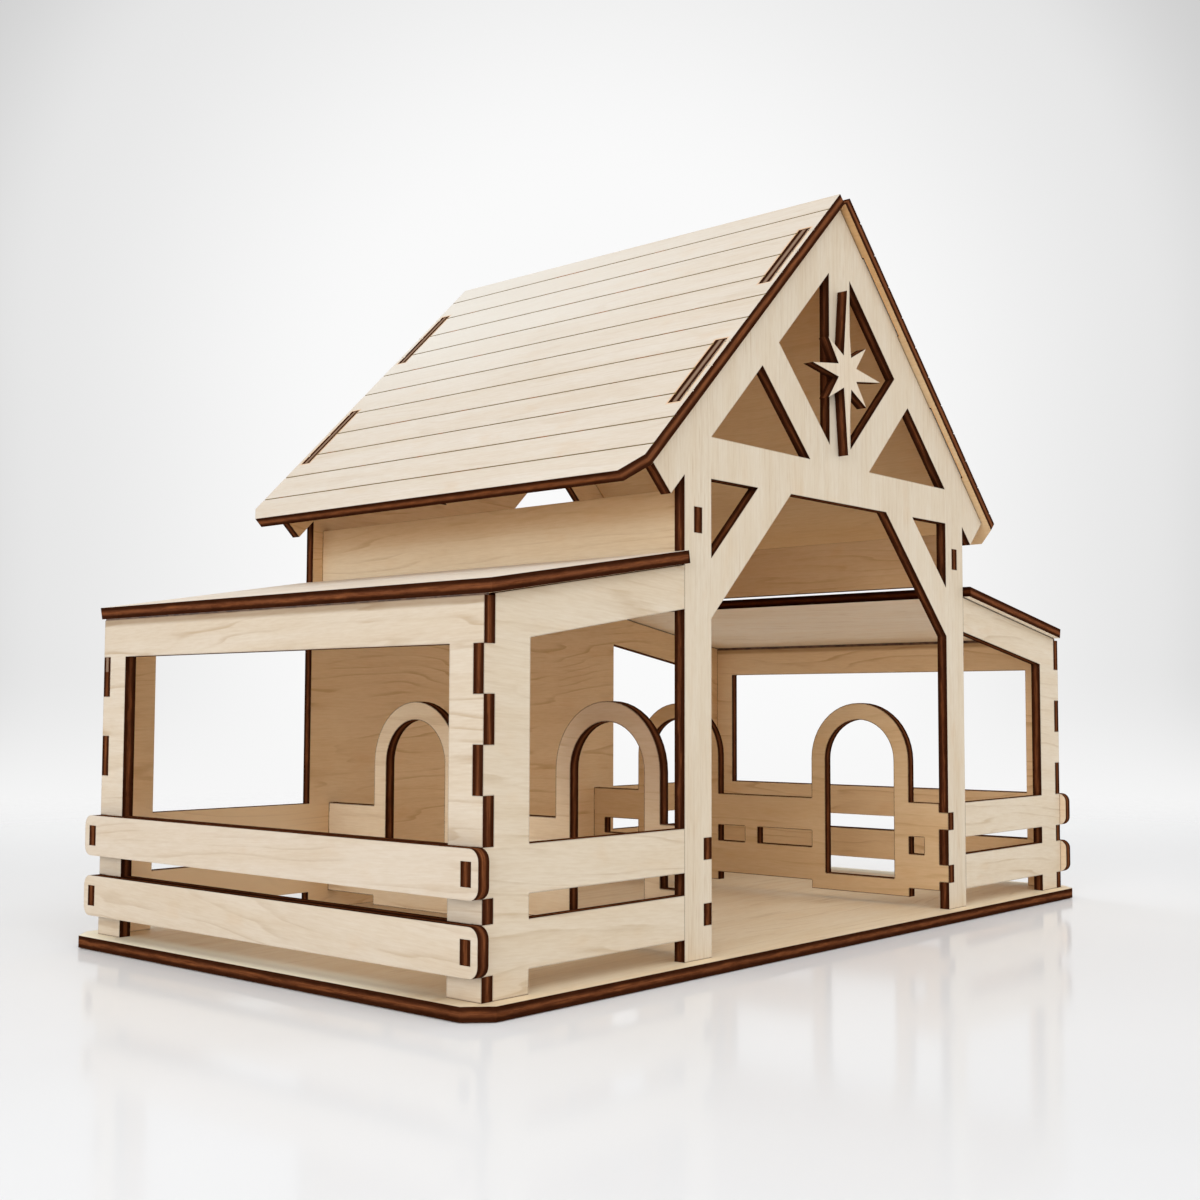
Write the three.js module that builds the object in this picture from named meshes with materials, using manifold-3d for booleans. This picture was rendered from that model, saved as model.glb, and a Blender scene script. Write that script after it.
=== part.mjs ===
// A flat-packed plywood nativity stable: a tall gabled bay between two lower lean-to bays, on a base plate.
// Every piece is cut from one thickness of plywood and joined by fingers, tabs and slots.
// Millimetres, +Z up, +Y towards the back. The origin is the middle of the base plate's underside.

import * as THREE from 'three';
import { mergeVertices } from 'three/addons/utils/BufferGeometryUtils.js';
import Module from 'manifold-3d';

const wasm = await Module();
wasm.setup();

// Sheet, strips and joints
const ply = 3;                      // thickness of every sheet
const member = 10;                  // width of posts, beams, rafters, braces and rails
const lath = 5;                     // width of the thin strips in the two partitions
const fit = 0.3;                    // clearance between a sloping sheet and what it meets
const tabHeight = 5;                // tabs that stand out of the rails' ends
const cornerFingers = 4;            // finger lengths between a lean-to's sill and its window head

// Walls, with heights from the base plate's upper face
const wallDepth = 140;              // from the front wall's face to the back wall's face
const doorwayWidth = 111;           // clear width between the two tall posts
const doorwayHeight = 111;          // clear height below the tie beam
const braceDrop = 32.8;             // where a brace leaves its post, below the tie beam
const braceAngle = THREE.MathUtils.degToRad(45);
const plateRise = 4;                // roof line above the tie beam, at the posts' outer faces
const roofPitch = THREE.MathUtils.degToRad(45);
const footHeight = 5;               // gap below the lower rails
const railGap = 5;                  // gap between the lower and the upper rails
const leanToWindow = 50;            // width of the opening in a lean-to's front
const leanToDrop = 35;              // from the tall bay's roof line down to the lean-to's highest edge
const leanToFall = 10;              // fall of a lean-to's head from the post to the side frame

// Base plate
const baseSideLedge = 4.75;
const baseFrontLedge = 4;
const baseBackLedge = 6;
const cornerCut = 5;                // corners clipped from the base plate and from the eaves

// Roofs
const rafterReach = 12;             // rafter tips beyond the tall posts
const roofOverhang = 8;             // main roof beyond the rafter tips, down the slope
const verge = 2;                    // roofs and fence rails beyond the front and back walls
const roofTabLength = 25;
const roofTabShares = [0.265, 0.725];   // middles of the tabs along a rafter, from the ridge down
const plankStart = 7.7;             // first engraved line from the ridge
const plankWidth = 10.08;           // from one engraved line to the next
const plankRest = 3;                // least width of the last plank
const engraveWidth = 0.4;
const engraveDepth = 0.3;
const overrun = 1;                  // how far a cutter runs past a face

// Fence rails and clerestory boards
const railCorner = 2.5;
const railCornerSteps = 6;
const boardHeight = 15;
const boardTabHeight = 6;

// Doorways in the partitions
const archWidth = 24;
const archSpring = 42;              // height at which the round head begins
const archShares = [3 / 14, 10 / 14];   // middles of the doorways along the wall, from the front
const archSteps = 24;

// Star on the king post
const starUpright = 21.9;           // from its middle to the upper and lower tips
const starLevel = 16.3;             // to the left and right tips
const starSlant = 12.1;             // to the four slanting tips
const starSlantAngle = THREE.MathUtils.degToRad(41.3);
const starValley = 4.6;             // to the valleys between the rays
const starShare = 0.437;            // its middle up the king post, from the tie beam to the rafters' meeting
const starShift = 0.9;              // it is glued this far left of the king post's middle

// Both sides, with how far each lean-to roof stops short of its side frame's outer face
const sides = [
  { name: 'left', sign: -1, eaveInset: 0.3 },
  { name: 'right', sign: 1, eaveInset: 2.2 },
];

const colours = {
  base: '#e5d3b3',
  wall: '#e3d2b4',
  rail: '#e6d9c0',
  inner: '#d8c096',
  roof: '#eadcc2',
  star: '#dfccab',
};

// Plan, from the middle plane outwards and from the front face back
const legWidth = ply + member;
const doorHalf = doorwayWidth / 2;
const naveHalf = doorHalf + member;
const legInner = naveHalf + leanToWindow;
const wallHalf = legInner + legWidth;
const baseLength = 2 * (wallHalf + baseSideLedge);
const baseDepth = baseFrontLedge + wallDepth + baseBackLedge;
const front = baseFrontLedge - baseDepth / 2;
const back = front + wallDepth;
const roofNear = front - verge;
const roofFar = back + verge;

// Heights and slopes
const lowerRail = { level: 'lower', from: footHeight, to: footHeight + member };
const upperRail = { level: 'upper', from: lowerRail.to + railGap, to: lowerRail.to + railGap + member };
const rails = [lowerRail, upperRail];
const sill = upperRail.to;
const tieTop = doorwayHeight + member;
const plate = tieTop + plateRise;
const ridge = plate + naveHalf * Math.tan(roofPitch);
const rafterLength = (naveHalf + rafterReach) / Math.cos(roofPitch);
const roofLength = rafterLength + roofOverhang;
const leanToHigh = plate - leanToDrop;
const leanToLow = leanToHigh - leanToFall;
const leanToPitch = Math.atan(leanToFall / (legInner + member - naveHalf));
const leanToHead = member / Math.cos(leanToPitch);
const windowTop = leanToLow - member;
const fingerLength = (windowTop - sill) / cornerFingers;

// Clerestory boards stand level with the lean-to roofs' upper faces, in the middle of the posts
const board = { from: leanToHigh + (fit + ply) / Math.cos(leanToPitch) };
board.to = board.from + boardHeight;
const boardInner = doorHalf + (member - ply) / 2;

// Fingers of the front and back walls that show on the side frames' faces
const fingers = [
  ...rails,
  { from: sill + fingerLength, to: sill + 2 * fingerLength },
  { from: windowTop - fingerLength, to: windowTop },
];

const stable = new THREE.Group();
const walls = new THREE.Group();    // everything that stands on the base plate
walls.position.z = ply;
stable.add(walls);

function addPiece(group, name, geometry, colour) {
  const material = new THREE.MeshStandardMaterial({ color: colour, roughness: 0.7, metalness: 0 });
  const piece = new THREE.Mesh(geometry, material);
  piece.name = name;
  group.add(piece);
  return piece;
}

function toSolid(geometry) {
  geometry.deleteAttribute('normal');
  geometry.deleteAttribute('uv');
  const merged = mergeVertices(geometry);
  return new wasm.Manifold(new wasm.Mesh({
    numProp: 3,
    vertProperties: merged.attributes.position.array,
    triVerts: new Uint32Array(merged.index.array),
  }));
}

function toGeometry(solid) {
  const mesh = solid.getMesh();
  const geometry = new THREE.BufferGeometry();
  geometry.setAttribute('position', new THREE.BufferAttribute(mesh.vertProperties, 3));
  geometry.setIndex(new THREE.BufferAttribute(mesh.triVerts, 1));
  const faceted = geometry.toNonIndexed();
  faceted.computeVertexNormals();
  return faceted;
}

// A solid of one outline, lying flat between two heights
function extrude(outline, bottom, top) {
  const shape = new THREE.Shape(outline.map(([x, y]) => new THREE.Vector2(x, y)));
  return toSolid(new THREE.ExtrudeGeometry(shape, { depth: top - bottom, bevelEnabled: false })
    .translate(0, 0, bottom));
}

// A sheet lying flat with its underside at height zero, cut to an outline and pierced by holes
function sheet(outline, holes = []) {
  const cuts = holes.map((hole) => extrude(hole, -overrun, ply + overrun));
  return cuts.reduce((rest, cut) => rest.subtract(cut), extrude(outline, 0, ply));
}

// A sheet stood up across the stable, its outline in x and z, its front face at the given y
function crossSheet(y, outline, holes) {
  return toGeometry(sheet(outline, holes)).rotateX(Math.PI / 2).translate(0, y + ply, 0);
}

// A sheet stood up along the stable, its outline in y and z, its inner face a distance from the middle plane
function longSheet(sign, inner, outline, holes) {
  const leftFace = sign > 0 ? inner : -inner - ply;
  return toGeometry(sheet(outline, holes)).rotateX(Math.PI / 2).rotateZ(Math.PI / 2).translate(leftFace, 0, 0);
}

function rectangle(x0, y0, x1, y1) {
  return [[x0, y0], [x1, y0], [x1, y1], [x0, y1]];
}

function polar(x, y, radius, angle) {
  return [x + radius * Math.cos(angle), y + radius * Math.sin(angle)];
}

function arc(x, y, radius, start, turn, steps) {
  return Array.from({ length: steps + 1 }, (_, i) => polar(x, y, radius, start + turn * i / steps));
}

function mirror(points) {
  return points.map(([x, y]) => [-x, y]).reverse();
}

function onBothSides(holes) {
  return [...holes, ...holes.map(mirror)];
}

// A span with its middle at a given place
function spanAbout(middle, length) {
  return { from: middle - length / 2, to: middle + length / 2 };
}

// The span of a tab or slot centred on a rail or board
function centred({ from, to }, length) {
  return spanAbout((from + to) / 2, length);
}

// A tab out of an upright edge, or a notch into it, from the bottom up
function tab(edge, reach, { from, to }) {
  return [[edge, from], [edge + reach, from], [edge + reach, to], [edge, to]];
}

function railTabs(edge, reach) {
  return rails.flatMap((rail) => tab(edge, reach, centred(rail, tabHeight)));
}

// The corner edge of a wall from the ground up: on one line between the fingers, on another along them
function fingerEdge(line, fingerLine, tabReach) {
  const points = [[line, 0]];
  for (const finger of fingers) {
    const tabbed = tabReach && rails.includes(finger);
    const tabPoints = tabbed ? tab(fingerLine, tabReach, centred(finger, tabHeight)) : [];
    points.push([line, finger.from], [fingerLine, finger.from], ...tabPoints);
    points.push([fingerLine, finger.to], [line, finger.to]);
  }
  return points;
}

// A point of the gable, by its distance down the roof line from the ridge and its height off that line
function onRoofLine(down, off) {
  return [
    down * Math.cos(roofPitch) + off * Math.sin(roofPitch),
    ridge - down * Math.sin(roofPitch) + off * Math.cos(roofPitch),
  ];
}

// Where the roof tabs begin and end, down the roof line
function roofTabSpans() {
  return roofTabShares.map((share) => spanAbout(share * rafterLength, roofTabLength));
}

// The rafter's square end and its top edge up to the ridge, with tabs that end flush with the roof
function rafterEdge() {
  const points = [onRoofLine(rafterLength, -member), onRoofLine(rafterLength, 0)];
  for (const { from, to } of roofTabSpans().reverse()) {
    const reach = fit + ply;
    points.push(onRoofLine(to, 0), onRoofLine(to, reach), onRoofLine(from, reach), onRoofLine(from, 0));
  }
  return [...points, [0, ridge]];
}

// Height of the rafters' lower edge at a distance from the middle plane
function underRafter(x) {
  return ridge - member / Math.cos(roofPitch) - x * Math.tan(roofPitch);
}

// Height of a lean-to's top edge at a distance from the middle plane
function leanToTop(x) {
  return leanToHigh - (x - naveHalf) * Math.tan(leanToPitch);
}

// A gable wall's outline from its right half, which ends at the ridge
function bothHalves(half) {
  return [...half, ...mirror(half).slice(1)];
}

// A lean-to's leg and corner, with the tabs that pass through the fence rails, up to its top edge
function leanToCorner() {
  const inside = wallHalf - ply;
  return [[legInner, 0], ...fingerEdge(inside, wallHalf, ply), [inside, leanToTop(inside)]];
}

// The window under a lean-to's sloping head
function leanToWindowOutline() {
  return [
    [naveHalf, sill],
    [legInner, sill],
    [legInner, leanToTop(legInner) - leanToHead],
    [naveHalf, leanToHigh - leanToHead],
  ];
}

// Above the tie beam: a triangle outside each strut, and half a rhombus between strut, rafter and king post
function gableHoles() {
  const peak = underRafter(0);
  const kingHalf = member / 2;
  const strutSlope = Math.tan(braceAngle);
  const strutHeight = member / Math.cos(braceAngle);
  const closing = Math.tan(roofPitch) + strutSlope;
  const triangleTop = (peak - tieTop + strutHeight) / closing;
  const rhombusSide = (peak - tieTop) / closing;
  return [
    [
      [strutHeight / strutSlope, tieTop],
      [(peak - tieTop) / Math.tan(roofPitch), tieTop],
      [triangleTop, underRafter(triangleTop)],
    ],
    [
      [kingHalf, tieTop + kingHalf * strutSlope],
      [rhombusSide, underRafter(rhombusSide)],
      [kingHalf, underRafter(kingHalf)],
    ],
  ];
}

function boardSlot() {
  const { from, to } = centred(board, boardTabHeight);
  return rectangle(boardInner, from, boardInner + ply, to);
}

function addBasePlate() {
  const x = baseLength / 2;
  const y = baseDepth / 2;
  const corner = [[x - cornerCut, -y], [x, cornerCut - y], [x, y - cornerCut], [x - cornerCut, y]];
  addPiece(stable, 'base_plate', toGeometry(sheet([...corner, ...mirror(corner)])), colours.base);
}

// The front of the tall bay: posts, a braced tie beam, a king post between struts, and rafters
function addFrontGable() {
  const braceRun = braceDrop / Math.tan(braceAngle);
  const braceHeight = member / Math.cos(braceAngle);
  const half = [
    [doorHalf - braceRun, doorwayHeight],
    [doorHalf, doorwayHeight - braceDrop],
    ...railTabs(doorHalf, ply).reverse(),
    [doorHalf, 0],
    [naveHalf, 0],
    [naveHalf, underRafter(naveHalf)],
    ...rafterEdge(),
  ];
  const aboveBrace = [
    [doorHalf, doorwayHeight],
    [doorHalf - braceRun + braceHeight / Math.tan(braceAngle), doorwayHeight],
    [doorHalf, doorwayHeight - braceDrop + braceHeight],
  ];
  const holes = onBothSides([aboveBrace, ...gableHoles(), boardSlot()]);
  addPiece(walls, 'front_gable', crossSheet(front, bothHalves(half), holes), colours.wall);
}

// The back wall is one sheet across all three bays, closed in the middle and open in the lean-tos
function addBackPanel() {
  const half = [
    [naveHalf, 0],
    [naveHalf, footHeight],
    [legInner, footHeight],
    ...leanToCorner(),
    [naveHalf, leanToHigh],
    [naveHalf, underRafter(naveHalf)],
    ...rafterEdge(),
  ];
  const gap = rectangle(naveHalf, lowerRail.to, legInner, upperRail.from);
  const partitionSlots = rails.map((rail) => tab(doorHalf, ply, centred(rail, tabHeight)));
  const holes = onBothSides([leanToWindowOutline(), gap, ...partitionSlots, ...gableHoles(), boardSlot()]);
  addPiece(walls, 'back_panel', crossSheet(back - ply, bothHalves(half), holes), colours.wall);
}

// The front of a lean-to: a leg with a sloping head and two rails, all butted to the tall post
function addLeanToFront({ name, sign }) {
  const [sillEnd, sillCorner, headCorner, headEnd] = leanToWindowOutline();
  const outline = [
    [naveHalf, leanToHigh],
    headEnd,
    headCorner,
    sillCorner,
    sillEnd,
    [naveHalf, upperRail.from],
    [legInner, upperRail.from],
    [legInner, lowerRail.to],
    [naveHalf, lowerRail.to],
    [naveHalf, lowerRail.from],
    [legInner, lowerRail.from],
    ...leanToCorner(),
  ];
  const placed = sign > 0 ? outline : mirror(outline);
  addPiece(walls, `front_lean_to_${name}`, crossSheet(front, placed), colours.wall);
}

// The side of a lean-to: one long window over two rails, with finger joints at both corners
function addSideFrame({ name, sign }) {
  const near = front + member;
  const far = back - member;
  const outline = [
    ...fingerEdge(front, front + ply, 0),
    [front, leanToTop(wallHalf)],
    [back, leanToTop(wallHalf)],
    ...fingerEdge(back, back - ply, 0).reverse(),
    [far, 0],
    [far, footHeight],
    [near, footHeight],
    [near, 0],
  ];
  const holes = [
    rectangle(near, sill, far, windowTop),
    rectangle(near, lowerRail.to, far, upperRail.from),
  ];
  const frame = longSheet(sign, wallHalf - ply, outline, holes);
  addPiece(walls, `side_frame_${name}`, frame, colours.wall);
}

// A round-cornered rail on a side frame's face, held by the tabs of the front and back walls
function addFenceRail({ name, sign }, rail) {
  const low = rail.from + railCorner;
  const high = rail.to - railCorner;
  const near = roofNear + railCorner;
  const far = roofFar - railCorner;
  const corners = [[far, low], [far, high], [near, high], [near, low]];
  const quarter = Math.PI / 2;
  const outline = corners.flatMap(([y, z], i) => (
    arc(y, z, railCorner, (i - 1) * quarter, quarter, railCornerSteps)
  ));
  const slots = [front, back - ply].map((y) => tab(y, ply, centred(rail, tabHeight)));
  const geometry = longSheet(sign, wallHalf, outline, slots);
  addPiece(walls, `fence_rail_${rail.level}_${name}`, geometry, colours.rail);
}

// A board between the tall posts and the back wall, above the lean-to roof
function addClerestoryBoard({ name, sign }) {
  const near = front + ply;
  const far = back - ply;
  const outline = [
    [near, board.from],
    [far, board.from],
    ...tab(far, ply, centred(board, boardTabHeight)),
    [far, board.to],
    [near, board.to],
    ...tab(near, -ply, centred(board, boardTabHeight)).reverse(),
  ];
  addPiece(walls, `clerestory_board_${name}`, longSheet(sign, boardInner, outline), colours.inner);
}

// A low wall of rails between the tall bay and a lean-to, with two round-headed doorways.
// The two partitions are alike, so neither is turned end for end.
function addPartition({ name, sign }) {
  const near = front + ply;
  const far = back - ply;
  const middle = (front + back) / 2;
  const doors = archShares.map((share) => front + share * wallDepth);
  const inner = archWidth / 2;
  const outer = inner + lath;
  const sillTop = lowerRail.from + lath / 2;
  const sillBottom = lowerRail.from - lath / 2;
  const sills = doors.flatMap((y) => [
    [y - outer, lowerRail.from],
    [y - outer, sillBottom],
    [y + outer, sillBottom],
    [y + outer, lowerRail.from],
  ]);
  const heads = doors.flatMap((y) => [
    [y - outer, upperRail.to],
    ...arc(y, archSpring, outer, Math.PI, -Math.PI, archSteps),
    [y + outer, upperRail.to],
  ]);
  const outline = [
    [near, lowerRail.from],
    ...sills,
    [far, lowerRail.from],
    ...railTabs(far, ply),
    [far, upperRail.to],
    ...heads.reverse(),
    [near, upperRail.to],
    ...railTabs(near, -ply).reverse(),
  ];
  const doorways = doors.map((y) => [
    [y - inner, sillTop],
    [y + inner, sillTop],
    ...arc(y, archSpring, inner, 0, Math.PI, archSteps),
  ]);
  const uprights = [
    { from: near, to: near + lath },
    ...doors.map((y) => spanAbout(y, 2 * outer)),
    spanAbout(middle, lath),
    { from: far - lath, to: far },
  ].sort((a, b) => a.from - b.from);
  const gaps = uprights.slice(1)
    .map((upright, i) => ({ from: uprights[i].to, to: upright.from }))
    .filter(({ from, to }) => to > from)
    .map(({ from, to }) => rectangle(from, lowerRail.to, to, upperRail.from));
  const geometry = longSheet(sign, doorHalf, outline, [...doorways, ...gaps]);
  addPiece(walls, `partition_${name}`, geometry, colours.inner);
}

// Engraves the lines that make one roof sheet look like planks, each along the stable
function engravePlanks(roof, sign) {
  const depth = engraveDepth + overrun;
  let engraved = roof;
  for (let down = plankStart; down < roofLength - plankRest; down += plankWidth) {
    const line = new THREE.BoxGeometry(engraveWidth, roofFar - roofNear + overrun, depth);
    line.translate(sign * down, (roofNear + roofFar) / 2, ply - engraveDepth + depth / 2);
    engraved = engraved.subtract(toSolid(line));
  }
  return toGeometry(engraved);
}

// A main roof lies on the rafters with its square upper edge at the ridge, and the rafters' tabs fill its slots
function addMainRoof({ name, sign }) {
  const outline = [
    [0, roofNear],
    [sign * (roofLength - cornerCut), roofNear],
    [sign * roofLength, roofNear + cornerCut],
    [sign * roofLength, roofFar - cornerCut],
    [sign * (roofLength - cornerCut), roofFar],
    [0, roofFar],
  ];
  const slots = roofTabSpans().flatMap(({ from, to }) => [front, back - ply].map((y) => (
    rectangle(sign * (from - fit), y - fit, sign * (to + fit), y + ply + fit)
  )));
  const slope = new THREE.Group();
  slope.position.z = ridge;
  slope.rotation.y = sign * roofPitch;
  walls.add(slope);
  const roof = engravePlanks(sheet(outline, slots), sign);
  addPiece(slope, `main_roof_${name}`, roof, colours.roof).position.z = fit;
}

// A lean-to roof lies on the sloping heads and meets the tall post with its upper edge
function addLeanToRoof({ name, sign, eaveInset }) {
  const length = (wallHalf - naveHalf - eaveInset) / Math.cos(leanToPitch);
  const outline = rectangle(sign * fit, roofNear, sign * length, roofFar);
  const slope = new THREE.Group();
  slope.position.set(sign * naveHalf, 0, leanToHigh);
  slope.rotation.y = sign * leanToPitch;
  walls.add(slope);
  addPiece(slope, `lean_to_roof_${name}`, toGeometry(sheet(outline)), colours.roof).position.z = fit;
}

// An eight-rayed star glued on the king post
function addStar() {
  const x = -starShift;
  const z = tieTop + starShare * (underRafter(0) - tieTop);
  const rays = [
    { angle: 0, reach: starLevel },
    { angle: starSlantAngle, reach: starSlant },
    { angle: Math.PI / 2, reach: starUpright },
    { angle: Math.PI - starSlantAngle, reach: starSlant },
  ];
  const outline = [0, Math.PI].flatMap((turn) => rays.flatMap(({ angle, reach }, i) => [
    polar(x, z, reach, turn + angle),
    polar(x, z, starValley, turn + (i + 0.5) * Math.PI / rays.length),
  ]));
  addPiece(walls, 'star', crossSheet(front - ply, outline), colours.star);
}

addBasePlate();
addFrontGable();
addBackPanel();
addStar();
for (const side of sides) {
  addLeanToFront(side);
  addSideFrame(side);
  for (const rail of rails) addFenceRail(side, rail);
  addPartition(side);
  addClerestoryBoard(side);
  addLeanToRoof(side);
  addMainRoof(side);
}

export default stable;
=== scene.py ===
import math

import bmesh
import bpy
from mathutils import Matrix, Vector


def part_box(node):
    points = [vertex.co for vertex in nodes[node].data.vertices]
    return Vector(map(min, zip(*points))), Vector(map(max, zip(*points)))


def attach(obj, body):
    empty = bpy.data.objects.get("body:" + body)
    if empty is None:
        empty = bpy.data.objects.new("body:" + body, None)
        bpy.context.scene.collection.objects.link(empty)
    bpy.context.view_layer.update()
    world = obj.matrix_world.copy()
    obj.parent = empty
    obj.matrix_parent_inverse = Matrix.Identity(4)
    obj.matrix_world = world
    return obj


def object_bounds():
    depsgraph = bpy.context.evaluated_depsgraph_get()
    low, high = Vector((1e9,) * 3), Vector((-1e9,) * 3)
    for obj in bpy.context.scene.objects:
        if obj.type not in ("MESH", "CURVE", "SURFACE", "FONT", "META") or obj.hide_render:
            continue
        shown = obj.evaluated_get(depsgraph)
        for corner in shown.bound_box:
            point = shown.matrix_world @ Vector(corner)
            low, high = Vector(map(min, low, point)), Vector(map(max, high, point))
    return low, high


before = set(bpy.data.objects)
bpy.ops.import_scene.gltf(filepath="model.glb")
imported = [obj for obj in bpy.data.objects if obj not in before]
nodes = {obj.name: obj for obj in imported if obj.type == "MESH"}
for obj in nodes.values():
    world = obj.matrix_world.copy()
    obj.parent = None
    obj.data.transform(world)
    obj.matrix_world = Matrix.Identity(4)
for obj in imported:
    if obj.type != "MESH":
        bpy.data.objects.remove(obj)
cad_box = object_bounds()

# A nativity stable that comes as flat plywood sheets, cut by a laser and slotted together.
# Metres, +Z up, +Y towards the back wall. Each section is one piece, or one group of like pieces.


# The camera stands low off the left front corner, a little above the fence rails.
# Its place, tilt and lens were fitted to the corners of the sheets.
camera_place = Vector((-0.3351, -0.2870, 0.0600))
camera_yaw = math.radians(49.564)       # from +Y towards +X
camera_pitch = math.radians(3.516)
camera_roll = math.radians(0.097)

camera = bpy.data.objects.new("camera", bpy.data.cameras.new("camera"))
camera.data.sensor_width = 36
camera.data.lens = 45.44
camera.data.shift_x = -0.0324
camera.data.shift_y = 0.0135
camera.data.clip_start = 0.01
camera.matrix_world = (Matrix.Translation(camera_place)
                       @ Matrix.Rotation(-camera_yaw, 4, "Z")
                       @ Matrix.Rotation(math.pi / 2 + camera_pitch, 4, "X")
                       @ Matrix.Rotation(camera_roll, 4, "Z"))
bpy.context.scene.collection.objects.link(camera)
bpy.context.scene.camera = camera
bpy.context.scene.view_settings.view_transform = "Standard"


# The backdrop is a pale sweep, brightest in the middle and falling off to both sides and upwards.
# It is only seen, directly or mirrored: an even dome of the same world lights the stable.
class Socket:
    """An output in a tree of shader nodes. Arithmetic on it adds Math nodes."""

    def __init__(self, tree, output=None):
        self.tree = tree
        self.output = output

    def node(self, kind, settings=None, inputs=None, output=0):
        """Adds a node. Its settings are set first, then the values or links of its sockets."""
        made = self.tree.nodes.new(kind)
        for name, value in (settings or {}).items():
            setattr(made, name, value)
        for name, value in (inputs or {}).items():
            if isinstance(value, Socket):
                self.tree.links.new(value.output, made.inputs[name])
            else:
                made.inputs[name].default_value = value
        return Socket(self.tree, made.outputs[output] if made.outputs else None)

    def math(self, operation, *terms):
        """A Math node on the terms, each a socket or a number."""
        return self.node("ShaderNodeMath", {"operation": operation}, dict(enumerate(terms)))

    def __add__(self, other):
        return self.math("ADD", self, other)

    def __sub__(self, other):
        return self.math("SUBTRACT", self, other)

    def __rsub__(self, other):
        return self.math("SUBTRACT", other, self)

    def __mul__(self, other):
        return self.math("MULTIPLY", self, other)

    def __truediv__(self, other):
        return self.math("DIVIDE", self, other)

    def __rtruediv__(self, other):
        return self.math("DIVIDE", other, self)

    def __pow__(self, other):
        return self.math("POWER", self, other)

    def __rpow__(self, other):
        return self.math("POWER", other, self)

    def __abs__(self):
        return self.math("ABSOLUTE", self)

    __radd__ = __add__
    __rmul__ = __mul__

    def fraction(self):
        return self.math("FRACT", self)

    def lesser(self, other):
        return self.math("MINIMUM", self, other)

    def greater(self, other):
        return self.math("MAXIMUM", self, other)

    def dot(self, vector):
        settings = {"operation": "DOT_PRODUCT"}
        return self.node("ShaderNodeVectorMath", settings, {0: self, 1: vector}, output="Value")

    def rise(self, low, high):
        """0 up to low, 1 from high, and a smooth step between. It falls if low lies above high."""
        settings = {"interpolation_type": "SMOOTHSTEP"}
        inputs = {"Value": self, "From Min": low, "From Max": high}
        return self.node("ShaderNodeMapRange", settings, inputs)


def empty_tree(owner):
    """A world's or material's node tree with nothing in it."""
    owner.use_nodes = True
    owner.node_tree.nodes.clear()
    return Socket(owner.node_tree)


def rgb(red, green, blue):
    """A colour as a paint program gives it, 0 to 255, turned into the renderer's linear colour."""
    linear = []
    for part in (red / 255, green / 255, blue / 255):
        linear.append(part / 12.92 if part <= 0.04045 else ((part + 0.055) / 1.055) ** 2.4)
    return *linear, 1.0


def mix(factor, below, above, blend="MIX"):
    """The colour above laid over the colour below, as far as the factor says."""
    settings = {"data_type": "RGBA", "blend_type": blend}
    return factor.node("ShaderNodeMix", settings, {0: factor, 6: below, 7: above}, output=2)


dome_strength = 0.55
dome_colour = rgb(255, 254, 252)
sweep_side = Vector((math.cos(camera_yaw), -math.sin(camera_yaw), 0.0))
sweep_middle = -0.024                   # how far to the right it is brightest, in a unit direction
sweep_bend = 0.20                       # how high up it starts to darken
sweep_darkening = 1.1                   # how fast it then darkens, set against sideways
sweep_foot = (0.03, -0.08)              # heights between which it turns into the pale ground
sweep_ground = rgb(247, 247, 247)
sweep_bright = rgb(250, 250, 250)       # its colour in the middle
sweep_dim = rgb(228, 228, 228)          # further out
sweep_rim = rgb(204, 204, 204)          # at its rim
sweep_beyond = rgb(230, 230, 230)       # and past the rim
sweep_dims = (0.14, 0.40)               # how far off the middle each of them comes in
sweep_rim_darkens = (0.34, 0.44)
sweep_beyond_pales = (0.46, 0.75)

world = bpy.data.worlds.new("studio")
bpy.context.scene.world = world
tree = empty_tree(world)
direction = tree.node("ShaderNodeTexCoord", output="Generated")
sideways = direction.dot(sweep_side) - sweep_middle
height = direction.dot((0, 0, 1))
over = (height - sweep_bend).greater(0.0) * sweep_darkening
off_middle = (sideways * sideways + over * over) ** 0.5
sweep = mix(off_middle.rise(*sweep_dims), sweep_bright, sweep_dim)
sweep = mix(off_middle.rise(*sweep_rim_darkens), sweep, sweep_rim)
sweep = mix(off_middle.rise(*sweep_beyond_pales), sweep, sweep_beyond)
sweep = mix(height.rise(*sweep_foot), sweep, sweep_ground)
seen = tree.node("ShaderNodeLightPath", output="Is Camera Ray")
mirrored = tree.node("ShaderNodeLightPath", output="Is Glossy Ray")
seen_through = tree.node("ShaderNodeLightPath", output="Is Transmission Ray")
shown = seen.greater(mirrored.greater(seen_through))
dome = tree.node("ShaderNodeBackground", inputs={"Color": dome_colour, "Strength": dome_strength})
picture = tree.node("ShaderNodeBackground", inputs={"Color": sweep, "Strength": 1.0})
sky = tree.node("ShaderNodeMixShader", inputs={0: shown, 1: dome, 2: picture})
tree.node("ShaderNodeOutputWorld", inputs={"Surface": sky})


# Four soft boxes stand round the table. The strongest lights the left side, one hangs high in
# front so that light falls through the doorway, and two stand to the right and behind.
softbox_size = 2.0
stable_middle = (cad_box[0] + cad_box[1]) / 2
ahead = Vector((math.sin(camera_yaw), math.cos(camera_yaw), 0.0))


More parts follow.
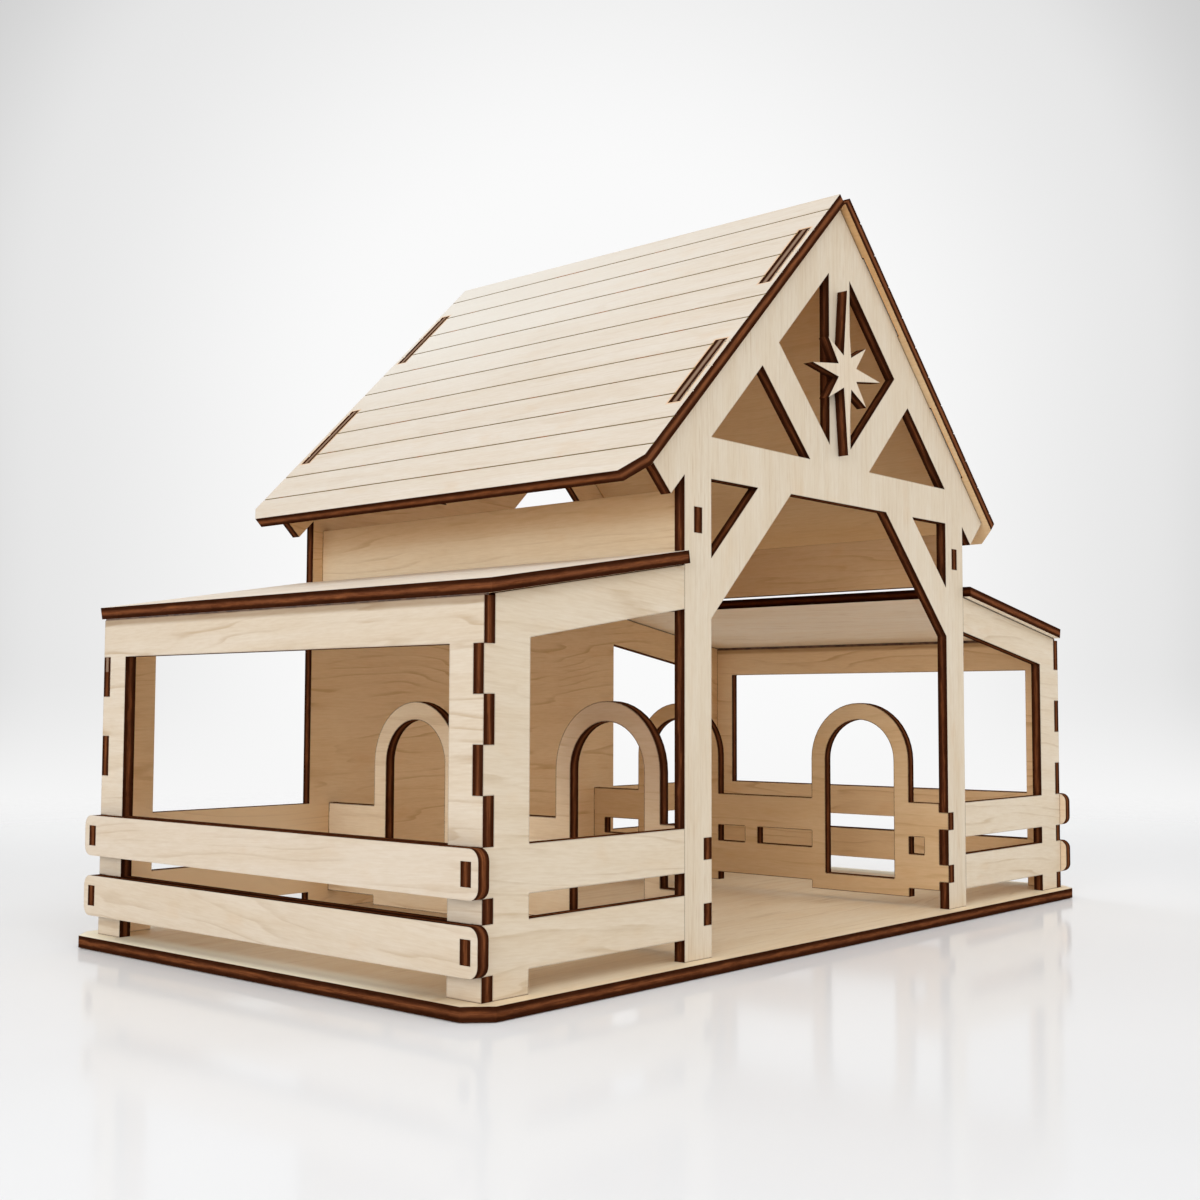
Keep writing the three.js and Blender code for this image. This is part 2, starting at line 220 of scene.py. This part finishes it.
def soft_box(name, away, power):
    """A square area lamp that faces the stable's middle from a place given relative to it.

    Those ahead of the camera are flagged off from reflections, or the table top mirrors them.
    """
    lamp = bpy.data.objects.new(name, bpy.data.lights.new(name, "AREA"))
    lamp.data.shape = "SQUARE"
    lamp.data.size = softbox_size
    lamp.data.energy = power
    lamp.location = stable_middle + Vector(away)
    lamp.rotation_euler = (-Vector(away)).to_track_quat("-Z", "Y").to_euler()
    lamp.visible_camera = False
    lamp.visible_glossy = (lamp.location - camera_place).dot(ahead) < 0
    bpy.context.scene.collection.objects.link(lamp)


soft_box("left_softbox", (-2.6, -0.6, 0.7), 40.0)
soft_box("front_softbox", (-0.2, -2.0, 1.8), 28.0)
soft_box("right_softbox", (2.6, -0.4, 0.6), 24.0)
soft_box("back_softbox", (0.6, 2.6, 0.8), 30.0)


# The table top is smooth white laminate. Near the stable it is painted a little lighter, painted
# light that lifts the stable's shadow there, and it is greyer away from it. It keeps the rest of
# the stable's shadow and a faint reflection of it, and fades into the backdrop further out.
table_size = 4.0
table_drop = 0.0002                     # how far it lies below the base plate
table_fade = (0.24, 0.75)               # radii between which it turns into the backdrop
laminate_near = rgb(241, 242, 244)
laminate_far = rgb(238, 239, 241)
laminate_greyed = (0.16, 0.27)          # radii between the near colour and the far one

table_middle = (stable_middle.x, stable_middle.y, -table_drop)
bpy.ops.mesh.primitive_plane_add(size=table_size, location=table_middle)
table = bpy.context.object
table.name = "table_top"
laminate = bpy.data.materials.new("white_laminate")
tree = empty_tree(laminate)
place = tree.node("ShaderNodeTexCoord", output="Object")
radius = tree.node("ShaderNodeVectorMath", {"operation": "LENGTH"}, {0: place}, output="Value")
# Painted light: the laminate is lighter near the stable, lifting the stable's shadow there
white = mix(radius.rise(*laminate_greyed), laminate_near, laminate_far)
top = tree.node("ShaderNodeBsdfPrincipled", inputs={
    "Base Color": white, "Roughness": 0.10, "Specular IOR Level": 0.026})
clear = tree.node("ShaderNodeBsdfTransparent")
faded = tree.node("ShaderNodeMixShader", inputs={0: radius.rise(*table_fade), 1: top, 2: clear})
tree.node("ShaderNodeOutputMaterial", inputs={"Surface": faded})
table.data.materials.append(laminate)


# The base plate: a rectangle of three-ply birch board with clipped corners, on which the walls
# stand. Its grain runs along the stable, and painted light pales its rim outside the side frames.
# All the other pieces are cut from the same kind of board, so the board's veneers and its burnt
# cuts are made here.
mm = 0.001
ply = (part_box("base_plate")[1].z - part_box("base_plate")[0].z) / mm
along_stable = (1, 0, 0)
to_the_back = (0, 1, 0)
to_the_front = (0, -1, 0)
upright = (0, 0, 1)
good_face = rgb(220, 207, 189)          # the veneer on the board's show side
plain_face = rgb(226, 193, 151)         # the warmer veneer on its other side, warmed further as painted bounce light of the shade inside
charred_glue = rgb(58, 29, 15)          # the outer plies at a cut
charred_core = rgb(94, 53, 31)          # the core between them
ember_core = rgb(142, 85, 50)           # the core where the laser burnt it less
arris = 0.06                            # millimetres that the laser burns off each edge
skin = (0.005, 0.03)                    # millimetres under a face, over which it turns into a cut
outline = 0.35                          # millimetres of each face that it browns beside the cut
joint_shade_reach = 0.4                              # millimetres over which painted shade gathers in a joint
other_face = 7.3                        # how far apart in the noise a sheet's two faces lie
other_log = 1.37                        # and two sheets from different logs
lit_rim_outside = (122.5, 127.5)            # millimetres from the middle, over which painted light pales the rim
lit_rim_backwards = (-60.0, -30.0)          # and the same from front to back


def stain(factor, colour, tone):
    """The colour darkened by a tone, as far as the factor says."""
    return mix(factor, colour, tone, "MULTIPLY")


class Sheet:
    """A sheet's directions as shader sockets, in millimetres, and the colours of its surfaces.

    face is the colour of both faces, and cut that of the edges and the holes' walls.
    """

    def __init__(self, name, grain, outwards, log, lean):
        self.piece = nodes[name]
        normal = max(self.piece.data.polygons, key=lambda polygon: polygon.area).normal.copy()
        if normal.dot(Vector(outwards)) < 0:
            normal.negate()
        along_grain = (Vector(grain) - normal * normal.dot(Vector(grain))).normalized()
        along_grain = Matrix.Rotation(math.radians(lean), 3, normal) @ along_grain
        hidden_side = min(normal.dot(vertex.co) for vertex in self.piece.data.vertices)

        self.material = bpy.data.materials.new(name + "_board")
        self.tree = empty_tree(self.material)
        self.place = self.tree.node("ShaderNodeTexCoord", output="Object")
        self.along = self.position(along_grain)
        self.across = self.position(normal.cross(along_grain))
        self.depth = (self.place.dot(normal) - hidden_side) / mm
        self.on_show = self.depth.rise(ply * 0.4, ply * 0.6)
        self.layer = self.on_show * other_face + log * other_log
        self.fibre = self.noise(11.0, 0.28, pick=5.5, detail=3.0, roughness=0.65)
        self.streak = self.noise(
            5.0, 5.0, pick=13.2, detail=4.0, roughness=0.7, through=self.depth / 0.6)
        self.face = None
        self.cut = None

    def position(self, towards):
        """How far a point lies from the stable's middle, in a direction of the stable."""
        return self.place.dot(towards) / mm

    def noise(self, length, width, pick, detail=2.0, roughness=0.5, through=None):
        """Cloudy noise in patches this long and wide. Each pick gives another one."""
        patch = self.tree.node("ShaderNodeCombineXYZ", inputs={
            "X": self.along / length, "Y": self.across / width,
            "Z": (through or self.layer) + pick})
        return self.tree.node("ShaderNodeTexNoise", {"noise_dimensions": "3D"}, {
            "Vector": patch, "Scale": 1.0, "Detail": detail, "Roughness": roughness})

    def nearby(self, distance, settings):
        """1 where no other surface lies within the distance, and less the closer one comes."""
        return self.tree.node("ShaderNodeAmbientOcclusion", {"samples": 4, **settings},
                              {"Distance": distance * mm}, output="AO")


def birch_veneer(sheet, show, hidden, spacing, swirl, figure, streaks):
    """The faces' colour, darker along the growth lines, in bands and clouds and by fibres."""
    # Growth lines are contours of a slow drift, so they run with the grain and close into ovals
    drift = sheet.noise(95.0, 24.0, pick=1.1, detail=1.0) * (2 * swirl)
    bend = sheet.noise(50.0, 3.0, pick=2.2, detail=1.0) * 1.2
    waver = sheet.noise(20.0, 5.0, pick=3.3, detail=1.0) * 0.55
    fray = sheet.noise(5.0, 1.6, pick=3.8) * 0.10
    ring = (sheet.across / spacing + drift + bend + waver + fray).fraction()
    shade = ring.rise(0.20, 0.92) * ring.rise(1.0, 0.93)
    shade *= sheet.noise(40.0, 11.0, pick=4.1).rise(0.35, 0.70)
    line = ring.rise(0.70, 0.92) * ring.rise(1.0, 0.94)
    line *= sheet.noise(28.0, 6.0, pick=4.4).rise(0.40, 0.66)

    band = sheet.noise(60.0, 5.0, pick=6.6).rise(0.35, 0.70)
    cloud = sheet.noise(38.0, 17.0, pick=7.7).rise(0.40, 0.70)
    fibre = sheet.fibre.rise(0.30, 0.75)
    fleck = sheet.noise(4.0, 0.50, pick=6.1, roughness=0.6).rise(0.34, 0.68)
    stroke = sheet.noise(9.0, 0.55, pick=8.8, detail=1.0).rise(0.56, 0.74)
    stroke *= sheet.noise(30.0, 12.0, pick=9.9).rise(0.42, 0.62)
    blush = sheet.noise(13.0, 6.0, pick=11.0).rise(0.58, 0.78)

    colour = mix(sheet.on_show, hidden, show)
    for mark, strength, tone in (
            (band, 0.30, rgb(243, 233, 217)),
            (cloud, 0.35, rgb(245, 240, 233)),
            (fibre, 0.18, rgb(233, 219, 200)),
            (fleck, 0.28, rgb(238, 229, 216)),
            (shade, 0.26 * figure, rgb(236, 228, 215)),
            (line, 0.55 * figure, rgb(217, 200, 177)),
            (stroke, 0.12 * figure + streaks, rgb(214, 189, 156)),
            (blush, 0.25, rgb(248, 229, 205))):
        colour = stain(mark * strength, colour, tone)
    return colour


def burnt_cut(sheet, core_tone):
    """The cuts' colour: the outer plies charred nearly black, and the core red-brown."""
    level = sheet.depth + (sheet.noise(9.0, 9.0, pick=12.1) - 0.5) * 0.30
    core = level.rise(ply * 0.20, ply * 0.48) * level.rise(ply * 0.80, ply * 0.52)
    ember = sheet.noise(11.0, 11.0, pick=14.3, detail=3.0, roughness=0.6).rise(0.44, 0.70)
    colour = mix(core, charred_glue, mix(ember, core_tone, ember_core))
    return stain(sheet.streak.rise(0.38, 0.66) * 0.55, colour, rgb(176, 156, 146))


def joint_shade_and_burnt_outline(sheet, browned):
    """The faces' colour with painted shade in the joints, from their occlusion, and a thin browned
    outline beside the cuts.
    """
    # Painted shade: darkens the faces where another surface comes close, in the joints
    joint_shade = sheet.nearby(joint_shade_reach, {}).rise(0.82, 0.50)
    colour = stain(joint_shade * 0.85, sheet.face, rgb(122, 86, 60))
    beside_cut = sheet.nearby(outline, {"inside": True, "only_local": True}).rise(0.96, 0.68)
    return stain(beside_cut * browned, colour, rgb(96, 64, 44))


def burn_edges(piece):
    """Joins the sheet's triangles into whole faces and takes the sharpness off its edges."""
    piece.data.attributes.remove(piece.data.attributes["custom_normal"])
    for polygon in piece.data.polygons:
        polygon.use_smooth = True
    weld = piece.modifiers.new("weld", "WELD")
    weld.merge_threshold = 0.001 * mm
    whole = piece.modifiers.new("whole_faces", "DECIMATE")
    whole.decimate_type = "DISSOLVE"
    whole.angle_limit = math.radians(0.5)
    bevel = piece.modifiers.new("arris", "BEVEL")
    bevel.width = arris * mm
    bevel.segments = 2
    bevel.limit_method = "ANGLE"
    bevel.angle_limit = math.radians(30)
    bevel.harden_normals = True


def plywood(name, grain, outwards, log, lean=0.0, show=good_face, hidden=plain_face,
            spacing=4.0, swirl=3.0, figure=1.0, streaks=0.0, core_tone=charred_core,
            browned=0.08, marks=None):
    """Finishes a sheet as three-ply birch board.

    grain and outwards are directions in the stable, and outwards is where the show side faces.
    log picks the stretch of veneer, lean turns its grain by so many degrees, and show and hidden
    are the veneers' colours; hidden, on the faces inside the stable, is set piece by piece and
    partly paints the light and shade that falls there.
    spacing is the millimetres between growth lines, swirl how many of
    them bend round in ovals, and figure their strength. streaks is the strength of the short
    strokes of straight-grained veneer. core_tone is the core's colour where it is cut, and
    browned how dark the faces get beside their cuts. marks recolours what only this sheet has.
    """
    sheet = Sheet(name, grain, outwards, log, lean)
    sheet.face = birch_veneer(sheet, show, hidden, spacing, swirl, figure, streaks)
    sheet.cut = burnt_cut(sheet, core_tone)
    if marks:
        marks(sheet)

    is_cut = sheet.depth.rise(*skin) * (ply - sheet.depth).rise(*skin)
    relief = sheet.tree.node("ShaderNodeBump", inputs={
        "Strength": 0.12, "Distance": 0.1 * mm, "Height": sheet.fibre + sheet.streak * is_cut})
    faces = sheet.tree.node("ShaderNodeBsdfPrincipled", inputs={
        "Base Color": joint_shade_and_burnt_outline(sheet, browned), "Roughness": 0.50 + sheet.fibre * 0.15,
        "Specular IOR Level": 0.22, "Normal": relief})
    cuts = sheet.tree.node("ShaderNodeBsdfPrincipled", inputs={
        "Base Color": sheet.cut, "Roughness": 0.8, "Specular IOR Level": 0.0, "Normal": relief})
    board = sheet.tree.node("ShaderNodeMixShader", inputs={0: is_cut, 1: faces, 2: cuts})
    sheet.tree.node("ShaderNodeOutputMaterial", inputs={"Surface": board})
    sheet.piece.data.materials.clear()
    sheet.piece.data.materials.append(sheet.material)
    burn_edges(sheet.piece)


def painted_light_rim(sheet):
    """Paints light on the veneer outside the side frames, along the two short edges, paling it."""
    outside = abs(sheet.position(along_stable)).rise(*lit_rim_outside)
    rim = outside * sheet.position(to_the_back).rise(*lit_rim_backwards)
    sheet.face = mix(rim, sheet.face, rgb(254, 243, 216))


plywood("base_plate", along_stable, upright, log=1, lean=3, show=rgb(238, 221, 192),
        spacing=6.0, figure=0.6, core_tone=rgb(102, 59, 36), marks=painted_light_rim)


# The back panel: one sheet across all three bays, closed in the middle, its grain along the
# stable. It is the largest sheet, so its veneer shows whole ovals, and inside, low down in the
# left bay, painted light makes the wood lighter. Its tabs come up through the roofs and end
# flush, with painted sheen on their cut ends.
tab_end_sheen = rgb(148, 123, 103)
lit_bay = (-50.0, -75.0)            # millimetres along the stable, over which painted light lightens it
lit_below = (42.0, 24.0)            # and millimetres above the table
tab_end = (0.5, 0.2)                    # millimetres short of a tab's end, over which it greys
tab_reach = max(vertex.co.z + abs(vertex.co.x) for vertex in nodes["front_gable"].data.vertices)


def paint_sheen_on_tab_ends(sheet):
    """Greys the core in the ends of the tabs that come up through the main roofs, a painted sheen.
    """
    short_of_end = (tab_reach / mm - abs(sheet.position(along_stable))
                    - sheet.position(upright))
    ends = short_of_end.rise(*tab_end)
    core = sheet.depth.rise(ply * 0.22, ply * 0.42) * sheet.depth.rise(ply * 0.78, ply * 0.58)
    sheet.cut = mix(ends * core * 0.9, sheet.cut, tab_end_sheen)


def back_panel_marks(sheet):
    """Paints light on the wood low down in the left bay, inside, and paints sheen on the tab ends.
    """
    left_bay = sheet.position(along_stable).rise(*lit_bay)
    low_down = sheet.position(upright).rise(*lit_below)
    inside = 1 - sheet.on_show
    # Painted light, low down inside the left bay
    sheet.face = mix(left_bay * low_down * inside * 0.8, sheet.face, rgb(252, 229, 196))
    paint_sheen_on_tab_ends(sheet)


plywood("back_panel", along_stable, to_the_back, log=2, hidden=rgb(236, 204, 162),
        spacing=5.0, swirl=6.0, marks=back_panel_marks)


# The partitions: low walls with two round-headed doorways, the grain lengthwise. Two tabs at the
# front lie in notches of a tall post, and two at the back pass through the back panel. The laser
# left a burnt outline round them, and the left one browns towards the front.
browner_forwards = (-8.0, -38.0)        # millimetres along the partition, over which it browns
browner_upwards = (22.0, 48.0)          # and millimetres above the table
sides = {"left": Vector((-1, 0, 0)), "right": Vector((1, 0, 0))}   # and where each faces


def browner_end(sheet):
    """Browns the upper part of the end towards the front."""
    towards_front = sheet.position(to_the_back).rise(*browner_forwards)
    high_up = sheet.position(upright).rise(*browner_upwards)
    sheet.face = stain(towards_front * high_up, sheet.face, rgb(214, 199, 189))


for number, (side, outwards) in enumerate(sides.items()):
    plywood("partition_" + side, to_the_back, outwards, log=10 + number,
            show=rgb(238, 220, 193), hidden=rgb(213, 183, 144), figure=0.7, browned=0.9,
            marks=browner_end if side == "left" else None)


# The clerestory boards close the gap between the lean-to roofs and the main roof. A tab at each
# end passes through a tall post or through the back panel. The left board has a painted shadow
# of the eave along its top.
board_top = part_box("clerestory_board_left")[1].z / mm
eave_shadow_strip = (10.5, 2.5)             # millimetres below the top, over which the painted eave shadow comes in


def eave_shadow_top(sheet):
    """Paints the eave's shadow on the last millimetres below the upper edge."""
    below_top = board_top - sheet.position(upright)
    sheet.face = stain(below_top.rise(*eave_shadow_strip), sheet.face, rgb(236, 221, 204))


for number, (side, outwards) in enumerate(sides.items()):
    plywood("clerestory_board_" + side, to_the_back, outwards, log=20 + number,
            show=rgb(233, 213, 182), spacing=3.0, figure=0.7,
            marks=eave_shadow_top if side == "left" else None)


# The front gable: posts, braces, tie beam, struts, king post and rafters in one sheet, which
# stands on the base plate. Its grain is upright and nearly straight, with short narrow strokes.
plywood("front_gable", upright, to_the_front, log=30, show=rgb(219, 207, 188), spacing=2.2,
        swirl=1.6, figure=0.35, streaks=0.22, core_tone=rgb(84, 46, 28), browned=0.2,
        marks=paint_sheen_on_tab_ends)


# The lean-to fronts: a leg, a sloping head and two rails in one sheet, the grain lengthwise.
# They butt against the tall posts and are finger-jointed to the side frames.
for number, side in enumerate(sides):
    plywood("front_lean_to_" + side, along_stable, to_the_front, log=40 + number, lean=-4,
            show=rgb(219, 206, 186), figure=0.8, browned=0.35)


# The side frames: one long window over two rails, finger-jointed to the walls at both corners.
# A painted shadow of the lean-to roofs greys them in a narrow strip just under the roofs.
frame_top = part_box("side_frame_left")[1].z / mm
roof_shadow_strip = (2.1, 0.9)                # millimetres below the top, over which it darkens


def roof_shadow_top(sheet):
    """Paints the lean-to roof's shadow on the strip just under it."""
    below_top = frame_top - sheet.position(upright)
    sheet.face = stain(below_top.rise(*roof_shadow_strip), sheet.face, rgb(203, 191, 178))


for number, (side, outwards) in enumerate(sides.items()):
    plywood("side_frame_" + side, to_the_back, outwards, log=50 + number, lean=2,
            show=rgb(218, 205, 187), hidden=rgb(238, 210, 172), browned=0.3, marks=roof_shadow_top)


# The fence rails lie on the side frames' faces, two a side, with rounded corners.
# The end tabs of the front and back walls come through their slots and end flush.
for number, (side, outwards) in enumerate(sides.items()):
    plywood("fence_rail_upper_" + side, to_the_back, outwards, log=60 + number, lean=3,
            show=rgb(216, 203, 186), hidden=rgb(228, 208, 182), figure=0.55)
    plywood("fence_rail_lower_" + side, to_the_back, outwards, log=70 + number, lean=-3,
            show=rgb(217, 204, 186), hidden=rgb(228, 208, 182), figure=0.7)


# The lean-to roofs lie on the sloping heads, and their upper edges meet the tall posts.
# A dark bead, coloured as painted shade for the gap, fills the joint on each side frame's top.
bead_width = 1.2                        # millimetres, as the next two
bead_inset = 0.15                       # from the frame's ends and its outer edge
bead_sink = 0.03                        # how far the bead sinks into the wood
post_line = min(abs(vertex.co.x) for vertex in nodes["lean_to_roof_left"].data.vertices) / mm
shade_reach = (1.0, 0.5)                  # millimetres out from the posts, over which the painted shade stays
lumps_per_metre = 400.0

# Painted shade: the bead's browns stand in for the shade in the gap it fills
gap_shade_paint = bpy.data.materials.new("gap_shade_paint")
tree = empty_tree(gap_shade_paint)
place = tree.node("ShaderNodeTexCoord", output="Object")
lumps = tree.node("ShaderNodeTexNoise", inputs={"Vector": place, "Scale": lumps_per_metre})
browns = mix(lumps.rise(0.35, 0.65), rgb(62, 40, 26), rgb(98, 70, 50))
bead_shader = tree.node("ShaderNodeBsdfPrincipled", inputs={"Base Color": browns, "Roughness": 0.5})
tree.node("ShaderNodeOutputMaterial", inputs={"Surface": bead_shader})


def shaded_upper_edge(sheet):
    """Darkens the upper edge with painted shade, as it lies under the main roof."""
    from_post = abs(sheet.position(along_stable)) - post_line
    sheet.cut = stain(from_post.rise(*shade_reach), sheet.cut, rgb(168, 148, 130))


def shade_bead(side, outwards):
    """A bead as long as the side frame, from its top up to the underside of the lean-to roof."""
    roof = nodes["lean_to_roof_" + side].data
    below = min(roof.polygons, key=lambda polygon: polygon.normal.z * polygon.area)
    frame_low, frame_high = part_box("side_frame_" + side)
    roof_low, roof_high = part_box("lean_to_roof_" + side)
    outer = min(max(frame_high.x, -frame_low.x), max(roof_high.x, -roof_low.x)) - bead_inset * mm
    inner = outer - bead_width * mm

    def under_roof(x):
        """The height of the roof's underside, and a little more, at a distance from the middle."""
        rise = (outwards.x * x - below.center.x) * below.normal.x / below.normal.z
        return below.center.z - rise + bead_sink * mm

    foot = frame_high.z - bead_sink * mm
    section = ((outer, foot), (outer, under_roof(outer)), (inner, under_roof(inner)), (inner, foot))
    mesh = bmesh.new()
    ends = []
    for y in (frame_low.y + bead_inset * mm, frame_high.y - bead_inset * mm):
        ends.append([mesh.verts.new((outwards.x * x, y, z)) for x, z in section])
    mesh.faces.new(ends[0])
    mesh.faces.new(reversed(ends[1]))
    for corner in range(len(section)):
        after = (corner + 1) % len(section)
        mesh.faces.new((ends[0][corner], ends[1][corner], ends[1][after], ends[0][after]))
    bmesh.ops.recalc_face_normals(mesh, faces=mesh.faces)
    bead = bpy.data.objects.new("shade_bead_" + side, bpy.data.meshes.new("shade_bead_" + side))
    mesh.to_mesh(bead.data)
    mesh.free()
    bpy.context.scene.collection.objects.link(bead)
    bead.data.materials.append(gap_shade_paint)
    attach(bead, "root")


for number, (side, outwards) in enumerate(sides.items()):
    # The undersides' near-white hidden veneer is painted light, for light bounced up from the
    # table.
    plywood("lean_to_roof_" + side, to_the_back, upright, log=80 + number,
            show=rgb(232, 222, 209), hidden=rgb(252, 240, 220), figure=0.5,
            core_tone=rgb(112, 66, 42), marks=shaded_upper_edge)
    shade_bead(side, outwards)


# The main roofs: a sheet a side, engraved with lines like planks, its slots filled by the rafters'
# tabs. The laser browned the lines and left a faint scorched border round the slots. A painted
# sheen pales the veneer high up at the back, and painted shade darkens the underside towards
# the ridge.
first_line = 7.7                        # millimetres down the slope from the ridge
line_spacing = 10.08
line_edge = (0.50, 0.35)                # millimetres from a line's middle, over which it darkens
line_floor = (0.60, 0.40)               # millimetres under the face, the same
slot_middles = (29.0, 79.5)             # millimetres down the slope
slot_half_length = 12.5
scorch = (1.10, 0.30)                   # millimetres from a slot, over which its border browns
sheen_upwards = (90.0, 25.0)            # millimetres down the slope
sheen_backwards = (-80.0, 75.0)         # millimetres along the roof
ridge_shade_upwards = (60.0, 10.0)           # millimetres down the slope
underside = {"left": rgb(213, 183, 140), "right": rgb(228, 198, 157)}
walls_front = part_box("front_gable")[0].y / mm
walls_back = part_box("back_panel")[1].y / mm
walls_middle = (walls_front + walls_back) / 2
wall_distance = (walls_back - walls_front) / 2 - ply / 2


def engraving(side, outwards):
    """Gives the function that marks one main roof, by its place down the slope and along it."""
    slope = (outwards - Vector(upright)).normalized()
    ridge = min(slope.dot(vertex.co) for vertex in nodes["main_roof_" + side].data.vertices) / mm
    roof_low, roof_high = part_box("main_roof_" + side)
    verge = (roof_high.y - roof_low.y) / 2 / mm

    def engrave(sheet):
        down = sheet.position(slope) - ridge
        backwards = sheet.position(to_the_back)
        past_middle = abs(backwards - walls_middle)
        from_slot_middle = abs(down - slot_middles[0]).lesser(abs(down - slot_middles[1]))
        from_wall = abs(past_middle - wall_distance)

        lines = (down - first_line) / line_spacing + 0.5
        off_line = abs(lines.fraction() - 0.5) * line_spacing
        engraved = off_line.rise(*line_edge) * (ply - sheet.depth).rise(*line_floor)
        engraved *= (verge - past_middle).rise(0.1, 0.2)
        browner = sheet.noise(10.0, 30.0, pick=15.1).rise(0.58, 0.70)
        groove = mix(browner, rgb(143, 123, 78), rgb(176, 116, 58))
        # Between a slot and the verge the lines are hardly browned
        outside_slot = (from_slot_middle - slot_half_length).rise(0.5, -0.5)
        outside_slot *= (past_middle - wall_distance).rise(0.0, ply / 2)
        groove = mix(outside_slot, groove, rgb(232, 222, 208))
        sheet.cut = mix(engraved, sheet.cut, groove)

        # Painted sheen: the top face pales high up at the back
        painted_sheen = down.rise(*sheen_upwards) * backwards.rise(*sheen_backwards) * sheet.on_show
        sheet.face = mix(painted_sheen * 0.75, sheet.face, rgb(231, 227, 219))
        # Painted shade: the underside darkens towards the ridge
        ridge_shade = down.rise(*ridge_shade_upwards) * (1 - sheet.on_show)
        sheet.face = stain(ridge_shade, sheet.face, rgb(240, 225, 205))
        border = (from_slot_middle - slot_half_length).greater(from_wall - ply / 2)
        scorched = border.rise(*scorch) * sheet.noise(12.0, 12.0, pick=16.2).rise(0.15, 0.50)
        sheet.face = mix(scorched * 0.75, sheet.face, rgb(226, 172, 116))

    return engrave


for number, (side, outwards) in enumerate(sides.items()):
    plywood("main_roof_" + side, to_the_back, upright, log=90 + number,
            show=rgb(223, 214, 202), hidden=underside[side], figure=0.30,
            core_tone=rgb(118, 72, 46), marks=engraving(side, outwards))


# The star: a small eight-rayed star glued on the king post.
# It is cut from the same straight-grained board as the front gable, its grain upright too.
plywood("star", upright, to_the_front, log=100, show=rgb(223, 210, 191), spacing=2.2,
        swirl=1.6, figure=0.35, streaks=0.2, core_tone=rgb(80, 44, 27))
